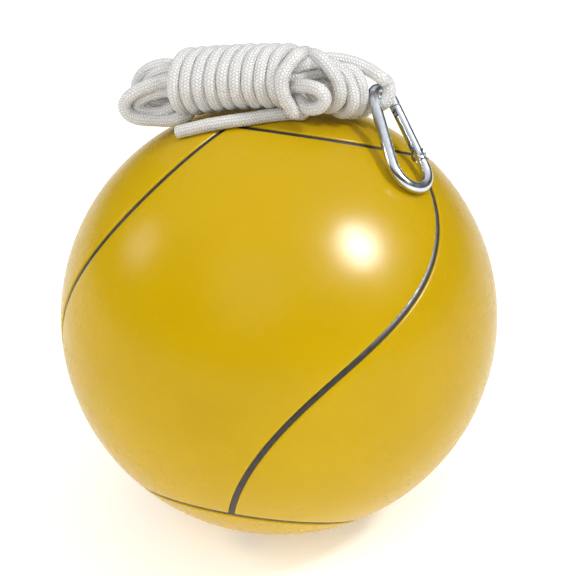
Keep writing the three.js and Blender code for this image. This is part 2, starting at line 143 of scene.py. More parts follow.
def tube_mesh(name, line, radii, sides, first_side=None, cap=0.5, relief=None, at=None):
    """A closed tube along a line. radii has one radius for each point. relief(at, turn) adds to
    the radius. cap is how far each end's dome stands out, in radii. UVs are metres along and turns.
    """
    tangent, one, two = carried_frames(line, first_side)
    radii = np.broadcast_to(radii, len(line)).astype(float)
    turn = np.arange(sides) / sides
    circle = (
        np.cos(2 * np.pi * turn)[None, :, None] * one[:, None, :]
        + np.sin(2 * np.pi * turn)[None, :, None] * two[:, None, :]
    )
    r = np.repeat(radii[:, None], sides, axis=1)
    if at is None:
        at = np.concatenate([[0], np.cumsum(np.linalg.norm(np.diff(line, axis=0), axis=1))])
    if relief is not None:
        r = r + relief(at[:, None], turn[None, :])
    rings = [line[:, None, :] + circle * r[:, :, None]]
    ats = [at]
    domes = 4 if cap > 0 else 0
    for end in (0, -1):
        sign = -1 if end == 0 else 1
        extra = []
        for k in range(1, domes + 1):
            a = 0.5 * np.pi * k / (domes + 0.35)
            centre = line[end] + sign * tangent[end] * cap * radii[end] * math.sin(a)
            extra.append(centre[None, :] + circle[end] * (r[end] * math.cos(a))[:, None])
        if extra:
            block = np.array(extra)
            if end == 0:
                rings.insert(0, block[::-1])
                ats.insert(0, np.full(domes, at[0]))
            else:
                rings.append(block)
                ats.append(np.full(domes, at[-1]))
    rings = np.concatenate(rings)
    ats = np.concatenate(ats)
    count = len(rings)
    verts = rings.reshape(-1, 3)
    i, j = np.meshgrid(np.arange(count - 1), np.arange(sides), indexing="ij")
    k = (j + 1) % sides
    quads = np.stack([i * sides + j, i * sides + k, (i + 1) * sides + k, (i + 1) * sides + j], -1)
    faces = quads.reshape(-1, 4).tolist()
    u0, u1 = ats[i], ats[i + 1]
    v0, v1 = j / sides, (j + 1) / sides
    uv = np.stack([u0, v0, u0, v1, u1, v1, u1, v0], -1).reshape(-1, 2).tolist()
    last = (count - 1) * sides
    faces.append(list(range(sides))[::-1])
    uv += [[ats[0], 0.0]] * sides
    faces.append([last + s for s in range(sides)])
    uv += [[ats[-1], 0.0]] * sides
    return mesh_object(name, verts, faces, uvs=uv)


# ---- rope ----
ROPE_D = 0.006
PLUMP = 1.08  # the slack braid stands a little over its nominal size
HANK_CENTRE = np.array([-19.5, -0.5, 235.7])
HANK_TILT = math.radians(10)
HANK_TURN = math.radians(15)
ALONG = np.array([
    math.cos(HANK_TILT) * math.cos(HANK_TURN),
    -math.cos(HANK_TILT) * math.sin(HANK_TURN),
    math.sin(HANK_TILT),
])
FRONT = np.array([-math.sin(HANK_TURN), -math.cos(HANK_TURN), 0.0])
UPWARD = np.cross(FRONT, ALONG)

# Slots of the strands that run inside the wraps: one in the middle and eight round it.
CORE_RING = 6.3
CORE_SLOTS = 8
CORE_END = 24  # how far a strand's straight stretch reaches from the middle
CORE_LEFT_START = -22  # where one that runs to the right starts


def slot_at(index):
    """(up, front) of a core strand: slot 0 is the middle, 1 to 8 go round from the top."""
    if index == 0:
        return 0.0, 0.0
    a = 2 * math.pi * (index - 1) / CORE_SLOTS
    return CORE_RING * math.cos(a), CORE_RING * math.sin(a)


def core(index, rightwards):
    """A strand through the wraps, in millimetres in the hank's frame."""
    up, front = slot_at(index)
    xs = [CORE_LEFT_START, 0, CORE_END] if rightwards else [CORE_END, 0, -CORE_END]
    return [[x, up + rise(x), front] for x in xs]


RISE_MIDDLE, RISE_SLOPE = 1.35, -0.022
RISE_BOW, BOW_REACH = 0.6, 27


def rise(x):
    """How far the middle of the wraps stands above the hank's axis at x."""
    return RISE_MIDDLE + RISE_SLOPE * x - RISE_BOW * (x / BOW_REACH) ** 2


# The rope's bights outside the wraps. Each point is along the hank, up and to the front, in mm.
THROUGH_HOOK = [
    [16, -1, -6.5], [27, -3, -7.5], [35, -6, -12.5], [41, -13, -18], [47, -20.5, -21.5],
    [52.7, -26.5, -18.5], [59.3, -23.1, -19.3], [62.2, -23.4, -16.8], [65.4, -21.8, -14.9],
    [67.9, -18.9, -14.6], [68.7, -15.5, -15.1], [67.9, -12.3, -15.8], [67, -7.8, -10],
    [62.7, -4.9, -11.5], [57.3, -1.2, -11.5], [50.8, 1.6, -11], [44.5, 3.3, -10], [38.6, 4.2, -8.5],
    [32.2, 4.6, -7],
]
LEFT_BACK = [
    [-35.3, 9.3, -5], [-40.5, 9.2, -5], [-46.1, 7.4, -5], [-51.1, 3.7, -6], [-54.2, -1.4, -7],
    [-54.4, -6.9, -8], [-51.1, -11.3, -8], [-45.1, -12.8, -8],
]
RIGHT_BACK = [
    [30.1, -7.8, -9], [33.3, -11.8, -11.5], [39.3, -15.9, -12.5], [45.9, -19.4, -11.5],
    [49.1, -23.9, -10.5], [54, -21.4, -9], [57, -15.5, -7.5], [57.5, -8.9, -7], [54.8, -3.2, -7.5],
    [48.3, -0.5, -6], [42.3, 0.3, -3], [36, 0.5, 1], [31.9, 0.3, 4],
]
LEFT_FRONT = [
    [-33.2, 4.5, 4], [-37, 3.8, 4], [-41.4, 3, 5], [-46.9, 1.5, 5], [-51.3, -0.1, 6],
    [-55.3, -3, 6], [-57.3, -6.6, 6], [-56.1, -10.1, 6], [-52.7, -12.4, 6], [-47.7, -13.6, 6],
    [-42.6, -14.7, 5], [-37, -15.3, 5], [-31.2, -14.7, 5], [-26.1, -12.9, 4],
]
RIGHT_FRONT = [
    [33.4, -10.6, -2], [36.9, -15.5, -2.5], [41.9, -17.4, -1], [47.4, -14.2, 2.5],
    [50.1, -9.3, 4.5], [50.1, -3.8, 5], [48.1, 1.9, 5], [44.6, 7, 4], [40.1, 9.1, 1],
    [34.4, 8.3, -3], [29.2, 6.6, -3],
]
LEFT_SMALL = [
    [-35.2, -1.5, 2], [-40.4, -1.8, 2], [-45.8, -2.9, 2], [-50.5, -5.3, 2], [-52.2, -8.2, 2],
    [-49.7, -10.6, 3], [-45.3, -11.7, 3], [-39.6, -11.7, 3], [-33.6, -9.6, 1],
]
EAR = [
    [34, -2.4, 10], [39.7, -2.8, 12], [43.7, -4.9, 13], [44.9, -8.7, 13], [42.3, -12.1, 13],
    [37, -13.2, 12], [32.6, -11.7, 9], [30.6, -9, 5],
]
LEFT_MIDDLE = [
    [-33.8, 7.6, -1], [-38.6, 6.8, -1], [-43.4, 4.3, -1.5], [-46.8, 0.1, -2], [-47, -4.4, -2],
    [-44.2, -7.6, -2.5], [-39.2, -8.3, -4],
]
RIGHT_MIDDLE = [
    [32.4, -4.5, -6], [37, -5.2, -7], [41, -9, -7], [42.3, -14.8, -7], [44.5, -20.9, -6],
    [49.9, -21.1, -4], [53.7, -16.8, -2], [54.3, -10.9, -2], [53, -5.1, -2.5], [50, -0, -2],
    [45.9, 3.7, -0.5], [40.9, 6, 1.5], [35.6, 5.9, 3.5],
]
INTO_WRAPS = [[-32, 3, -4], [-30, 8.5, -8]]
LAST_TURN = [
    [29, -14.4, 12], [27.6, -9.4, 14.5], [26.6, -3.9, 16], [26.6, 1.1, 16], [27.9, 5.5, 15],
    [30.4, 8.9, 12], [33.2, 11.5, 9], [34.5, 11.5, 4.5], [34.4, 9.9, -1.5],
]
BEHIND = [[33, 7.5, -9], [32, 0, -14], [31, -9, -13], [30, -15.5, -8]]
TAIL = [
    [28.9, -18.8, 1.4], [25, -17.8, 2.6], [19.5, -16.8, 5.7], [13.2, -16, 9.1], [6.2, -15.6, 12.1],
    [-2.7, -15.5, 13.9], [-12.1, -16, 14.7], [-20.9, -17.1, 14.8], [-29.3, -18.6, 14.3],
]
WRAP_FROM, WRAP_TO = -28.5, 28.3
WRAP_TURNS = 9.375
WRAP_STEPS = 40
WRAP_LEAN = 0.22  # how far a turn's front leans to the left, for each unit it stands forward
WRAP_R = 13.1  # of the first turn's centre line
WRAP_TAPER = 1.2  # how much smaller the last turn is
WRAP_START = 0.75 * math.pi  # angle of the first turn's start
WRAP_UNEVEN = 0.16  # how far a turn strays from its radius


def wraps():
    """The turns round the strands, a little narrower towards the right."""
    out = []
    for k in range(2, int(WRAP_TURNS * WRAP_STEPS) - 1):
        share = k / (WRAP_TURNS * WRAP_STEPS)
        angle = WRAP_START + 2 * math.pi * k / WRAP_STEPS
        x = WRAP_FROM + (WRAP_TO - WRAP_FROM) * share
        uneven = WRAP_UNEVEN * math.sin(5.1 * x) * math.sin(0.9 * angle)
        radius = WRAP_R - WRAP_TAPER * share ** 1.5 + uneven
        forward = radius * math.cos(angle)
        out.append([x - WRAP_LEAN * forward, radius * math.sin(angle) + rise(x), forward])
    return out


CURVE_STEPS = 8


def rope_line():
    """The rope's centre line from its hidden end, through the hook and the wraps, to its tail."""
    control = (
        THROUGH_HOOK
        + core(8, False) + LEFT_BACK + core(6, True) + RIGHT_BACK
        + core(3, False) + LEFT_SMALL + core(5, True) + RIGHT_FRONT
        + core(1, False) + LEFT_MIDDLE + core(7, True) + RIGHT_MIDDLE
        + core(2, False) + LEFT_FRONT + core(4, True) + EAR
        + core(0, False) + INTO_WRAPS + wraps() + LAST_TURN + BEHIND + TAIL
    )
    local = catmull(control, CURVE_STEPS)
    world = HANK_CENTRE + local[:, :1] * ALONG + local[:, 1:2] * UPWARD + local[:, 2:] * FRONT
    return world * MM


BRAID_ROWS = 12  # rows of stitches round the rope
STITCH = 0.00135  # length of one stitch along the rope
ROPE_STEP = 0.0005
ROPE_SIDES = 22


def braid_relief(at, turn):
    """The rope's slight unevenness along its length and round it."""
    return 0.00007 * np.sin(at / 0.0041 + 2.0) * np.cos(2 * np.pi * (turn - at / 0.031))


line, along = evenly(rope_line(), ROPE_STEP)
rope = tube_mesh("rope", line, PLUMP * 0.5 * ROPE_D, ROPE_SIDES, cap=0.35,
                 relief=braid_relief, at=along)
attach(rope, "rope")
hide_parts("rope_hank", "rope_tail", "rope_clip_bight")
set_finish(rope, "rope_nylon")

# ---- ball ----
LEAN, ROLL = math.radians(22.6), math.radians(8.7)
AXIS = np.array([
    math.sin(ROLL), math.cos(ROLL) * math.sin(LEAN), math.cos(ROLL) * math.cos(LEAN),
])
ZERO = VIEW_BACK - (VIEW_BACK @ AXIS) * AXIS
ZERO /= np.linalg.norm(ZERO)
BALL_BASIS = np.stack([ZERO, np.cross(AXIS, ZERO), AXIS])

FIRST_SEAM = math.radians(23.3)
TOP_LAT, BOTTOM_LAT = math.radians(55), math.radians(-57.8)
SWEEP, SOFT = math.radians(30.9), math.radians(35)
CHANNEL = 0.00145  # half the width of the channel between panels
PANEL_T = 0.0013
EDGE = 0.0008  # rounding of a panel's edge
MOUTH_R = 0.0172
VALVE_R = 0.0061


def to_world(points):
    return np.asarray(points) @ BALL_BASIS + BALL_CENTRE


def seam_swing(lat):
    return SWEEP * np.arctan(np.clip(lat, BOTTOM_LAT, TOP_LAT) / SOFT)


def lon_across(distance, lat):
    """The longitude that spans a distance square to an S seam."""
    slope = SWEEP * SOFT / (SOFT ** 2 + lat ** 2)
    return distance / (BALL_R * np.cos(lat)) * np.hypot(1, np.cos(lat) * slope)


def on_ball(lat, lon, radius):
    flat = radius * np.cos(lat)
    return np.stack([flat * np.cos(lon), flat * np.sin(lon), radius * np.sin(lat)], -1)


def rounded_drop(distance):
    """How far a panel's surface drops at a distance in from its edge."""
    gone = np.clip(EDGE - distance, 0, EDGE)
    return EDGE - np.sqrt(np.maximum(EDGE ** 2 - gone ** 2, 0))


EDGE_STEPS = np.array([0.0, 0.00006, 0.00022, 0.00045, 0.0008])


def closed_shell(name, outer, inner, ring):
    """A closed shell from two grids of points, rows by columns, the inner under the outer."""
    rows, columns = outer.shape[:2]
    verts = to_world(np.concatenate([outer.reshape(-1, 3), inner.reshape(-1, 3)]))
    size = rows * columns
    faces = []
    across = columns if ring else columns - 1
    for i in range(rows - 1):
        for j in range(across):
            a, b = i * columns + j, i * columns + (j + 1) % columns
            c, d = b + columns, a + columns
            faces.append((a, b, c, d))
            faces.append((size + d, size + c, size + b, size + a))
        if not ring:
            a, d = i * columns, (i + 1) * columns
            faces.append((size + a, a, d, size + d))
            b, c = a + columns - 1, d + columns - 1
            faces.append((b, size + b, size + c, c))
    for j in range(across):
        k = (j + 1) % columns
        faces.append((size + j, size + k, k, j))
        p, q = (rows - 1) * columns + j, (rows - 1) * columns + k
        faces.append((p, q, size + q, size + p))
    obj = mesh_object(name, verts, faces)
    mark_sharp(obj, 50)
    return obj


def mark_sharp(obj, degrees):
    """Shades an object smooth apart from edges that turn more than an angle."""
    obj.data.set_sharp_from_angle(angle=math.radians(degrees))


def cap_panel(name, edge_lat, pole_radius, sign):
    """A round end panel. It runs from its seam to the recess or valve at the pole."""
    edge = edge_lat + sign * (CHANNEL + EDGE_STEPS) / BALL_R
    pole = sign * (math.pi / 2 - math.asin(pole_radius / BALL_R))
    pole_side = pole - sign * EDGE_STEPS[::-1] / BALL_R
    lats = np.concatenate([edge, np.linspace(edge[-1], pole_side[0], 34)[1:-1], pole_side])
    drop = np.maximum(
        rounded_drop(np.abs(lats - edge[0]) * BALL_R), rounded_drop(np.abs(pole - lats) * BALL_R))
    if sign < 0:
        lats, drop = lats[::-1], drop[::-1]
    lons = FIRST_SEAM + np.linspace(0, 2 * math.pi, 192, endpoint=False)
    lat, lon = np.meshgrid(lats, lons, indexing="ij")
    outer = on_ball(lat, lon, BALL_R - drop[:, None])
    return closed_shell(name, outer, on_ball(lat, lon, BALL_R - PANEL_T), True)


def side_panel(name, index):
    """A side panel between two S seams and the two end panels."""
    low = BOTTOM_LAT + (CHANNEL + EDGE_STEPS) / BALL_R
    high = TOP_LAT - (CHANNEL + EDGE_STEPS[::-1]) / BALL_R
    lats = np.concatenate([low, np.linspace(low[-1], high[0], 72)[1:-1], high])
    fade = np.minimum(lats - low[0], high[-1] - lats) * BALL_R
    rows, drops = [], []
    for lat, from_end in zip(lats, fade):
        left = FIRST_SEAM + seam_swing(lat) + index * math.pi / 2
        right = left + math.pi / 2
        near_left = left + lon_across(CHANNEL + EDGE_STEPS, lat)
        near_right = right - lon_across(CHANNEL + EDGE_STEPS[::-1], lat)
        middle = np.linspace(near_left[-1], near_right[0], 46)[1:-1]
        rows.append(np.concatenate([near_left, middle, near_right]))
        side = np.concatenate([EDGE_STEPS, np.full(len(middle), EDGE), EDGE_STEPS[::-1]])
        drops.append(np.maximum(rounded_drop(side), rounded_drop(from_end)))
    lon, drop = np.array(rows), np.array(drops)
    lat = np.repeat(lats[:, None], lon.shape[1], axis=1)
    outer = on_ball(lat, lon, BALL_R - drop)
    return closed_shell(name, outer, on_ball(lat, lon, BALL_R - PANEL_T), False)


STRIP_HALF = 0.00135
STRIP_TOP = BALL_R - 0.00042
STRIP_CROWN = 0.00028
STRIP_ACROSS = np.linspace(-1, 1, 7)


def strip_radius(share):
    return STRIP_TOP - STRIP_CROWN * share ** 2


def side_strip(name, index):
    lats = np.linspace(BOTTOM_LAT, TOP_LAT, 120)
    seam = FIRST_SEAM + seam_swing(lats) + index * math.pi / 2
    lon = seam[:, None] + lon_across(STRIP_HALF, lats)[:, None] * STRIP_ACROSS[None, :]
    lat = np.repeat(lats[:, None], len(STRIP_ACROSS), axis=1)
    outer = on_ball(lat, lon, strip_radius(STRIP_ACROSS)[None, :])
    return closed_shell(name, outer, on_ball(lat, lon, BALL_R - PANEL_T), False)


def ring_strip(name, at_lat):
    lats = at_lat + STRIP_HALF / BALL_R * STRIP_ACROSS
    lons = np.linspace(0, 2 * math.pi, 256, endpoint=False)
    lat, lon = np.meshgrid(lats, lons, indexing="ij")
    outer = on_ball(lat, lon, strip_radius(STRIP_ACROSS)[:, None])
    return closed_shell(name, outer, on_ball(lat, lon, BALL_R - PANEL_T), True)


def place(obj, body, slot, *nodes):
    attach(obj, body)
    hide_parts(*nodes)
    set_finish(obj, slot)
    return obj


covers = [
    place(cap_panel("cap_top", TOP_LAT, MOUTH_R, 1), "ball", "yellow_rubber", "cover_cap_top"),
    place(cap_panel("cap_bottom", BOTTOM_LAT, VALVE_R, -1), "ball", "yellow_rubber",
          "cover_cap_bottom"),
]
seams = [
    place(ring_strip("ring_seam_top", TOP_LAT), "ball", "black_rubber", "seam_ring_top"),
    place(ring_strip("ring_seam_bottom", BOTTOM_LAT), "ball", "black_rubber", "seam_ring_bottom"),
]
for n in range(4):
    number = n + 1
    covers.append(place(
        side_panel(f"side_panel_{number}", n), "ball", "yellow_rubber", f"cover_side_{number}"))
    seams.append(place(
        side_strip(f"side_seam_{number}", n), "ball", "black_rubber", f"seam_strip_{number}"))


# ---- anchor recess and valve, round the ball's axis ----
def turned(name, profile, sides):
    """A closed turned piece from a profile of (radius, height), which starts and ends on the axis
    or closes on itself, in the ball's own frame."""
    ring = profile[0][0] > 1e-9
    angles = np.linspace(0, 2 * math.pi, sides, endpoint=False)
    verts, starts = [], []
    for r, z in profile:
        starts.append(len(verts))
        if r < 1e-9:
            verts.append([0, 0, z])
        else:
            verts += [[r * math.cos(a), r * math.sin(a), z] for a in angles]
    faces = []
    pairs = list(zip(range(len(profile)), range(1, len(profile))))
    if ring:
        pairs.append((len(profile) - 1, 0))
    for a, b in pairs:
        for s in range(sides):
            t = (s + 1) % sides
            on_a, on_b = profile[a][0] < 1e-9, profile[b][0] < 1e-9
            if on_a:
                faces.append((starts[a], starts[b] + t, starts[b] + s))
            elif on_b:
                faces.append((starts[a] + s, starts[a] + t, starts[b]))
            else:
                faces.append((starts[a] + s, starts[a] + t, starts[b] + t, starts[b] + s))
    obj = mesh_object(name, to_world(np.array(verts)), faces)
    mark_sharp(obj, 38)
    return obj


CUP_R, CUP_WALL = 0.0145, 0.002
MOUTH_Z = math.sqrt(BALL_R ** 2 - (CUP_R + CUP_WALL) ** 2)
CUP_TOP = MOUTH_Z - 0.0004
CUP_FLOOR = MOUTH_Z - 0.0133

cup = turned("anchor_recess", [
    (0, CUP_FLOOR - 0.002), (0.0158, CUP_FLOOR - 0.002), (0.0163, CUP_FLOOR - 0.0015),
    (0.0163, CUP_TOP - 0.002), (0.0168, CUP_TOP - 0.0016), (0.0168, CUP_TOP - 0.0004),
    (0.0164, CUP_TOP), (0.0153, CUP_TOP), (0.0147, CUP_TOP - 0.0003), (CUP_R, CUP_TOP - 0.0009),
    (CUP_R, CUP_FLOOR + 0.0012), (0.0141, CUP_FLOOR + 0.0004), (0.0132, CUP_FLOOR),
    (0, CUP_FLOOR),
], 72)
place(cup, "ball", "anchor_rubber", "anchor_cup")

VALVE_TOP = -(BALL_R - 0.0006)
valve = turned("valve_sleeve", [
    (0.0022, VALVE_TOP + 0.0006), (0.0026, VALVE_TOP + 0.0001), (0.0032, VALVE_TOP),
    (0.0052, VALVE_TOP), (0.0056, VALVE_TOP + 0.0004), (0.0056, -0.1025), (0.0022, -0.1025),
][::-1], 48)
place(valve, "ball", "anchor_rubber", "valve_housing")


# ---- snap hook ----
HOOK_NOSE = np.array([48, 1.5, 230.3])
HOOK_X = np.array([0.3, -0.712, -0.635])
HOOK_X /= np.linalg.norm(HOOK_X)
HOOK_Y = np.array([0.755, 0.584, -0.298])
HOOK_Y -= (HOOK_Y @ HOOK_X) * HOOK_X
HOOK_Y /= np.linalg.norm(HOOK_Y)
HOOK_Z = np.cross(HOOK_X, HOOK_Y)
NOSE_R, BEND_R, BEND_X = 6.25, 10.75, 43.75
TIP_X, GATE_TOP_X, LATCH_X, PIVOT_X, SHOULDER_X = 9, 9.5, 11.9, 36, 39.6
WIRE_R, GATE_R = 2.75, 2.7
LEG_SINE = (BEND_R - NOSE_R) / (BEND_X - NOSE_R)
LEG = math.asin(LEG_SINE)


def hook_world(points):
    p = np.asarray(points, float)
    out = HOOK_NOSE + p[..., :1] * HOOK_X + p[..., 1:2] * HOOK_Y + p[..., 2:] * HOOK_Z
    return out * MM


def gate_line(x):
    return NOSE_R * math.cos(LEG) + (x - NOSE_R + NOSE_R * LEG_SINE) * math.tan(LEG)


GATE_X = np.array([math.cos(LEG), math.sin(LEG), 0.0])
GATE_Y = np.array([-math.sin(LEG), math.cos(LEG), 0.0])
PIVOT = np.array([PIVOT_X, gate_line(PIVOT_X), 0.0])


def along_gate(points):
    """Points measured from the gate's pivot, along the gate, across it and through it."""
    p = np.asarray(points, float)
    return hook_world(
        PIVOT + p[..., :1] * GATE_X + p[..., 1:2] * GATE_Y + p[..., 2:] * np.array([0, 0, 1.0]))


def arc(centre_x, radius, start, end, count):
    a = np.linspace(start, end, count)
    return np.stack([centre_x - radius * np.cos(a), radius * np.sin(a), 0 * a], -1).tolist()


def box_piece(name, low, high, place_points, bevel):
    """A box with bevelled edges, put in place by a function of its corners."""
    (x0, y0, z0), (x1, y1, z1) = low, high
    corners = [[x, y, z] for x in (x0, x1) for y in (y0, y1) for z in (z0, z1)]
    faces = [(0, 1, 3, 2), (4, 6, 7, 5), (0, 4, 5, 1), (2, 3, 7, 6), (0, 2, 6, 4), (1, 5, 7, 3)]
    obj = mesh_object(name, place_points(corners), faces)
    soften(obj, bevel)
    return obj


def soften(obj, width):
    mod = obj.modifiers.new("bevel", "BEVEL")
    mod.width = width
    mod.segments = 3
    mod.limit_method = "ANGLE"


def applied(obj):
    """The object with its modifiers applied."""
    graph = bpy.context.evaluated_depsgraph_get()
    mesh = bpy.data.meshes.new_from_object(obj.evaluated_get(graph))
    obj.modifiers.clear()
    obj.data = mesh
    return obj


def cut_by(obj, cutters, how="DIFFERENCE"):
    """Cuts or joins obj with other objects, which are then removed."""
    for cutter in cutters:
        mod = obj.modifiers.new("cut", "BOOLEAN")
        mod.operation = how
        mod.object = cutter
        mod.solver = "EXACT"
        applied(obj)
        bpy.data.objects.remove(cutter)
    return obj


def rod_piece(name, radius, start, end, place_points, across, sides=48, dome=0.0, edge=0.25):
    """A round rod from start to end along x, or along z when across is given as (x, y)."""
    steps = []
    if dome:
        for a in np.linspace(0.15, 1, 6) * math.pi / 2:
            steps.append((start + dome * (1 - math.sin(a)), radius * math.sin(a)))
        for a in np.linspace(1, 0.15, 6) * math.pi / 2:
            steps.append((end - dome * (1 - math.sin(a)), radius * math.sin(a)))
    else:
        steps = [
            (start, radius - edge), (start + 0.3 * edge, radius - 0.3 * edge),
            (start + edge, radius), (end - edge, radius),
            (end - 0.3 * edge, radius - 0.3 * edge), (end, radius - edge),
        ]
    angles = np.linspace(0, 2 * math.pi, sides, endpoint=False)
    points = []
    for at, r in steps:
        for a in angles:
            if across is None:
                points.append([at, r * math.cos(a), r * math.sin(a)])
            else:
                points.append([across[0] + r * math.cos(a), across[1] + r * math.sin(a), at])
    faces = []
    for i in range(len(steps) - 1):
        for s in range(sides):
            t = (s + 1) % sides
            faces.append((i * sides + s, i * sides + t, (i + 1) * sides + t, (i + 1) * sides + s))
    faces.append(tuple(range(sides))[::-1])
    faces.append(tuple((len(steps) - 1) * sides + s for s in range(sides)))
    return mesh_object(name, place_points(points), faces)


def facing_out(obj):
    bm = bmesh.new()
    bm.from_mesh(obj.data)
    bmesh.ops.recalc_face_normals(bm, faces=bm.faces)
    bm.to_mesh(obj.data)
    bm.free()
    return obj


def hook_wire():
    quarter = math.pi / 2
    middle = BEND_X / 2
    route = (
        [[TIP_X, gate_line(TIP_X), 0]]
        + arc(NOSE_R, NOSE_R, quarter - LEG, -quarter + LEG, 9)
        + [[middle, -gate_line(middle), 0]]
        + arc(BEND_X, BEND_R, -quarter + LEG, -3 * quarter - LEG, 13)
        + [[SHOULDER_X, gate_line(SHOULDER_X), 0]]
    )
    line, _ = evenly(catmull(route, 10), 0.5)
    return tube_mesh(
        "hook_wire", hook_world(line), WIRE_R * MM, 40, first_side=HOOK_Z, cap=0.16)


TONGUE = 1.0
TIP_REACH = (PIVOT_X - TIP_X) / math.cos(LEG)
LATCH = (PIVOT_X - LATCH_X) / math.cos(LEG)
GATE_REACH = (PIVOT_X - GATE_TOP_X) / math.cos(LEG)
SHOULDER = (SHOULDER_X - PIVOT_X) / math.cos(LEG)


def make_hook():
    wire = facing_out(hook_wire())
    eye = facing_out(rod_piece("eye", 2.2, -TONGUE, TONGUE, along_gate, (-1.1, 0), edge=0.12))
    neck = box_piece(
        "neck", (-1.1, -2.2, -TONGUE), (SHOULDER + 0.8, 2.2, TONGUE), along_gate, 0.1 * MM)
    tip = box_piece(
        "tip", (-TIP_REACH - 0.8, -2.2, -TONGUE), (-LATCH + 1.9, 2.2, TONGUE), along_gate, 0.1 * MM)
    cut_by(wire, [facing_out(applied(neck)), eye, facing_out(applied(tip))], "UNION")
    notch = box_piece(
        "notch", (-LATCH - 1.25, -4, -4), (-LATCH + 1.25, 1.25, 4), along_gate, 0.05 * MM)
    cut_by(wire, [facing_out(applied(notch))])
    mark_sharp(wire, 32)
    return wire


def make_gate():
    half = TONGUE + 0.35
    barrel = facing_out(rod_piece("gate", GATE_R, -GATE_REACH, 2.6, along_gate, None, dome=2.4))
    slot_low = facing_out(applied(box_piece(
        "slot_low", (-4.4, -4, -half), (4, 4, half), along_gate, 0.05 * MM)))
    slot_high = facing_out(applied(box_piece(
        "slot_high", (-GATE_REACH - 1, -4, -half), (-LATCH + 2.8, 4, half), along_gate, 0.05 * MM)))
    cut_by(barrel, [slot_low, slot_high])
    mark_sharp(barrel, 32)
    return barrel


hook = place(make_hook(), "snap_hook", "plated_steel", "hook_body")
gate = place(make_gate(), "gate", "plated_steel", "hook_gate")
rivet = facing_out(
    rod_piece("rivet_pin", 1.9, -3.35, 3.35, along_gate, (0, 0), sides=32, dome=0.7))
place(rivet, "snap_hook", "plated_steel", "gate_rivet")
latch = facing_out(
    rod_piece("latch", 0.9, -2.75, 2.75, along_gate, (-LATCH, 0), sides=24, edge=0.2))
place(latch, "gate", "plated_steel", "latch_pin")

hook_parts = [hook, gate, rivet, latch]


# ---- materials ----
class Nodes:
    """A material's node tree, with short calls to add and join nodes."""

    def __init__(self, name):
        self.material = bpy.data.materials.new(name)
        self.material.use_nodes = True
        self.tree = self.material.node_tree
        self.shader = self.tree.nodes["Principled BSDF"]
        self.column = -300

    def add(self, kind, **values):
        node = self.tree.nodes.new(kind)
        node.location = (self.column, 0)
        self.column -= 180
        for key, value in values.items():
            if hasattr(node, key):
                setattr(node, key, value)
            else:
                node.inputs[key.replace("_", " ").title()].default_value = value
        return node

    def put(self, source, target):
        self.tree.links.new(source, target)

    def maths(self, operation, first, second=None, third=None):
        node = self.add("ShaderNodeMath", operation=operation)
        for socket, value in zip(node.inputs, (first, second, third)):
            if value is None:
                continue
            if isinstance(value, (int, float)):
                socket.default_value = value
            else:
                self.put(value, socket)
        return node.outputs[0]

    def noise(self, scale, detail=3.0, roughness=0.5):
        node = self.add("ShaderNodeTexNoise")
        node.inputs["Scale"].default_value = scale
        node.inputs["Detail"].default_value = detail
        node.inputs["Roughness"].default_value = roughness
        self.put(self.object_place(), node.inputs["Vector"])
        return node.outputs["Fac"]

    def object_place(self):
        if not hasattr(self, "coordinates"):
            self.coordinates = self.add("ShaderNodeTexCoord")
        return self.coordinates.outputs["Object"]

    def ramp(self, source, stops):
        node = self.add("ShaderNodeValToRGB")
        elements = node.color_ramp.elements
        while len(elements) < len(stops):
            elements.new(0.5)
        for element, (at, colour) in zip(elements, stops):
            element.position = at
            element.color = (*colour, 1)
        self.put(source, node.inputs["Fac"])
        return node.outputs["Color"]

    def spread(self, source, low, high, to_low, to_high):
        node = self.add("ShaderNodeMapRange")
        self.put(source, node.inputs["Value"])
        for key, value in (("From Min", low), ("From Max", high), ("To Min", to_low),
                           ("To Max", to_high)):
            node.inputs[key].default_value = value
        return node.outputs["Result"]

    def bump(self, height, distance, strength=1.0, under=None):
        node = self.add("ShaderNodeBump")
        node.inputs["Strength"].default_value = strength
        node.inputs["Distance"].default_value = distance
        self.put(height, node.inputs["Height"])
        if under is not None:
            self.put(under, node.inputs["Normal"])
        return node.outputs["Normal"]

    def finish(self, colour=None, rough=None, normal=None, **constants):
        for key, value in constants.items():
            self.shader.inputs[key.replace("_", " ")].default_value = value
        for source, key in ((colour, "Base Color"), (rough, "Roughness"), (normal, "Normal")):
            if source is not None:
                self.put(source, self.shader.inputs[key])
        return self.material


def ball_rubber():
    m = Nodes("ball_rubber")
    broad = m.noise(9, 3, 0.55)
    fine = m.noise(900, 2, 0.6)
    colour = m.ramp(broad, [(0.3, (0.525, 0.330, 0.001)), (0.55, (0.565, 0.360, 0.001)),
                            (0.75, (0.592, 0.380, 0.002))])
    rough = m.spread(m.noise(40, 4, 0.6), 0.35, 0.7, 0.24, 0.30)
    normal = m.bump(fine, 0.00004, 0.35, under=m.bump(m.noise(30, 2, 0.5), 0.0006, 0.12))
    return m.finish(colour, rough, normal, IOR=1.25)


def seam_rubber():
    m = Nodes("seam_rubber")
    colour = m.ramp(m.noise(220, 3, 0.6), [(0.35, (0.008, 0.007, 0.006)),
                                           (0.7, (0.026, 0.023, 0.018))])
    rough = m.spread(m.noise(500, 2, 0.5), 0.3, 0.7, 0.38, 0.55)
    return m.finish(colour, rough, m.bump(m.noise(1500, 2, 0.5), 0.0001, 0.3))


def moulded_rubber(name, dark, light):
    m = Nodes(name)
    colour = m.ramp(m.noise(160, 4, 0.6), [(0.3, dark), (0.7, light)])
    rough = m.spread(m.noise(300, 3, 0.5), 0.3, 0.7, 0.5, 0.68)
    return m.finish(colour, rough, m.bump(m.noise(1400, 2, 0.5), 0.0001, 0.35))


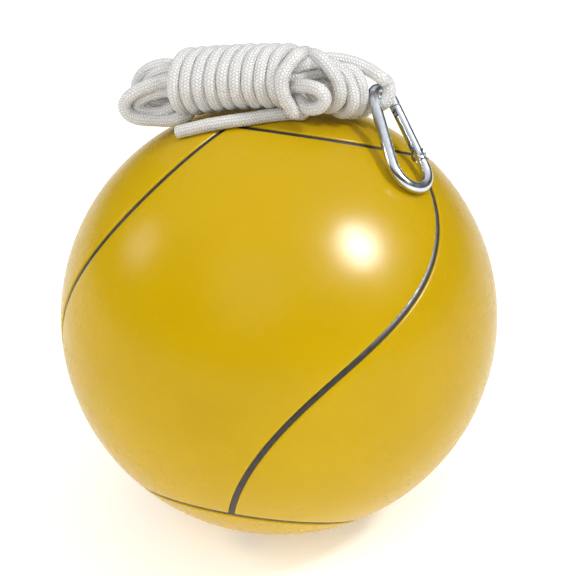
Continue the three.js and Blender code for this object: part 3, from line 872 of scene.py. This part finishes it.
def plated_steel():
    m = Nodes("zinc_plated_steel")
    colour = m.ramp(m.noise(120, 3, 0.55), [(0.3, (0.52, 0.55, 0.60)), (0.7, (0.68, 0.71, 0.75))])
    rough = m.spread(m.noise(260, 4, 0.6), 0.3, 0.7, 0.14, 0.24)
    return m.finish(colour, rough, m.bump(m.noise(700, 3, 0.5), 0.00008, 0.25), Metallic=1.0)


def braided_nylon():
    """Rows of slanting stitches: UV gives metres along the rope and turns round it."""
    m = Nodes("braided_nylon")
    uv = m.add("ShaderNodeUVMap", uv_map="UVMap")
    parts = m.add("ShaderNodeSeparateXYZ")
    m.put(uv.outputs["UV"], parts.inputs[0])
    across = m.maths("MULTIPLY", parts.outputs["Y"], float(BRAID_ROWS))
    row = m.maths("FLOOR", across)
    inside = m.maths("SUBTRACT", m.maths("SUBTRACT", across, row), 0.5)
    odd = m.maths("FLOORED_MODULO", row, 2.0)
    lean = m.maths("SUBTRACT", 1.0, m.maths("MULTIPLY", odd, 2.0))
    run = m.maths("ADD", m.maths("MULTIPLY", parts.outputs["X"], 1 / STITCH),
                  m.maths("MULTIPLY", m.maths("MULTIPLY", lean, inside), 0.55))
    run = m.maths("ADD", run, m.maths("MULTIPLY", odd, 0.5))
    crown = m.maths("POWER", m.maths("MAXIMUM", m.maths(
        "COSINE", m.maths("MULTIPLY", inside, math.pi)), 0.0), 0.7)
    wave = m.maths("POWER", m.maths("ABSOLUTE", m.maths(
        "SINE", m.maths("MULTIPLY", run, math.pi))), 1.2)
    height = m.maths("MULTIPLY", crown, wave)
    # Painted shade and light: the colour follows the stitch height, so the grooves between stitches
    # are painted darker and warmer as shade and the stitch crowns lighter.
    colour = m.ramp(height, [(0.0, (0.54, 0.525, 0.49)), (0.4, (0.70, 0.692, 0.675)),
                             (0.8, (0.80, 0.80, 0.802))])
    rough = m.spread(height, 0.0, 1.0, 0.7, 0.34)
    return m.finish(colour, rough, m.bump(height, 0.0005, 0.7), Subsurface_Weight=0.3,
                    Subsurface_Radius=(0.004, 0.0036, 0.003), Subsurface_Scale=1.0)


looks = {
    "yellow_rubber": ball_rubber(),
    "black_rubber": seam_rubber(),
    "inner_rubber": moulded_rubber("inner_rubber", (0.05, 0.042, 0.034), (0.09, 0.075, 0.06)),
    "bladder_rubber": moulded_rubber("bladder_rubber", (0.03, 0.022, 0.02), (0.055, 0.04, 0.037)),
    "anchor_rubber": moulded_rubber("anchor_rubber", (0.010, 0.010, 0.010), (0.024, 0.023, 0.021)),
    "plated_steel": plated_steel(),
    "rope_nylon": braided_nylon(),
    "winding_nylon": moulded_rubber("winding_nylon", (0.5, 0.47, 0.38), (0.62, 0.59, 0.5)),
}
looks["spring_steel"] = looks["plated_steel"]


def dress(obj, slot):
    obj.data.materials.clear()
    obj.data.materials.append(looks[slot])


slot_of = {row["node"]: row["material_slot"] for row in frame["record"]["subparts"]}
for name, node in frame["nodes"].items():
    if not node.hide_render:
        dress(node, slot_of[name])
for piece in [rope, cup, valve, *covers, *seams, *hook_parts]:
    dress(piece, piece["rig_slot"])


# ---- floor and light ----
def make_floor():
    half = 4.0
    floor = mesh_object(
        "floor", [(-half, -half, 0), (half, -half, 0), (half, half, 0), (-half, half, 0)],
        [(0, 1, 2, 3)], smooth=False)
    m = Nodes("pale_floor")
    colour = m.ramp(m.noise(3, 2, 0.5), [(0.3, (0.93, 0.93, 0.93)), (0.7, (0.95, 0.95, 0.95))])
    floor.data.materials.append(m.finish(
        colour, Roughness=0.9, Emission_Color=(1, 1, 1, 1), Emission_Strength=0.36))


def area_light(name, direction, distance, size, power, mirrored=True, lit=True):
    data = bpy.data.lights.new(name, "AREA")
    data.shape = "DISK"
    data.size = size
    data.energy = power
    light = bpy.data.objects.new(name, data)
    light.visible_glossy = mirrored
    light.visible_diffuse = lit
    scene.collection.objects.link(light)
    away = Vector(direction).normalized()
    light.location = Vector(BALL_CENTRE) + away * distance
    light.rotation_mode = "QUATERNION"
    light.rotation_quaternion = (-away).to_track_quat("-Z", "Y")


def make_world():
    """A studio that is bright overhead and dim near the horizon."""
    world = bpy.data.worlds.new("studio")
    scene.world = world
    world.use_nodes = True
    tree = world.node_tree
    place = tree.nodes.new("ShaderNodeTexCoord")
    parts = tree.nodes.new("ShaderNodeSeparateXYZ")
    ramp = tree.nodes.new("ShaderNodeValToRGB")
    stops = [(0.0, 0.08), (0.5, 0.10), (0.7, 0.70), (0.95, 1.02)]
    elements = ramp.color_ramp.elements
    while len(elements) < len(stops):
        elements.new(0.5)
    for element, (at, level) in zip(elements, stops):
        element.position = at
        element.color = (level, level, level * 1.01, 1)
    tree.links.new(place.outputs["Generated"], parts.inputs[0])
    tree.links.new(parts.outputs["Z"], ramp.inputs["Fac"])
    background = tree.nodes["Background"]
    tree.links.new(ramp.outputs["Color"], background.inputs["Color"])
    background.inputs["Strength"].default_value = 1.0


make_floor()
area_light("key", (0.605, -0.294, 0.740), 1.6, 0.24, 9.5)
area_light("window", (0.605, -0.294, 0.740), 1.65, 0.6, 74, lit=False)
area_light("fill", (-0.877, 0.10, 0.46), 1.8, 0.5, 6)
area_light("front", (-0.25, -0.80, 0.62), 2.4, 1.6, 19, mirrored=False)
make_world()
scene.view_settings.view_transform = "Standard"
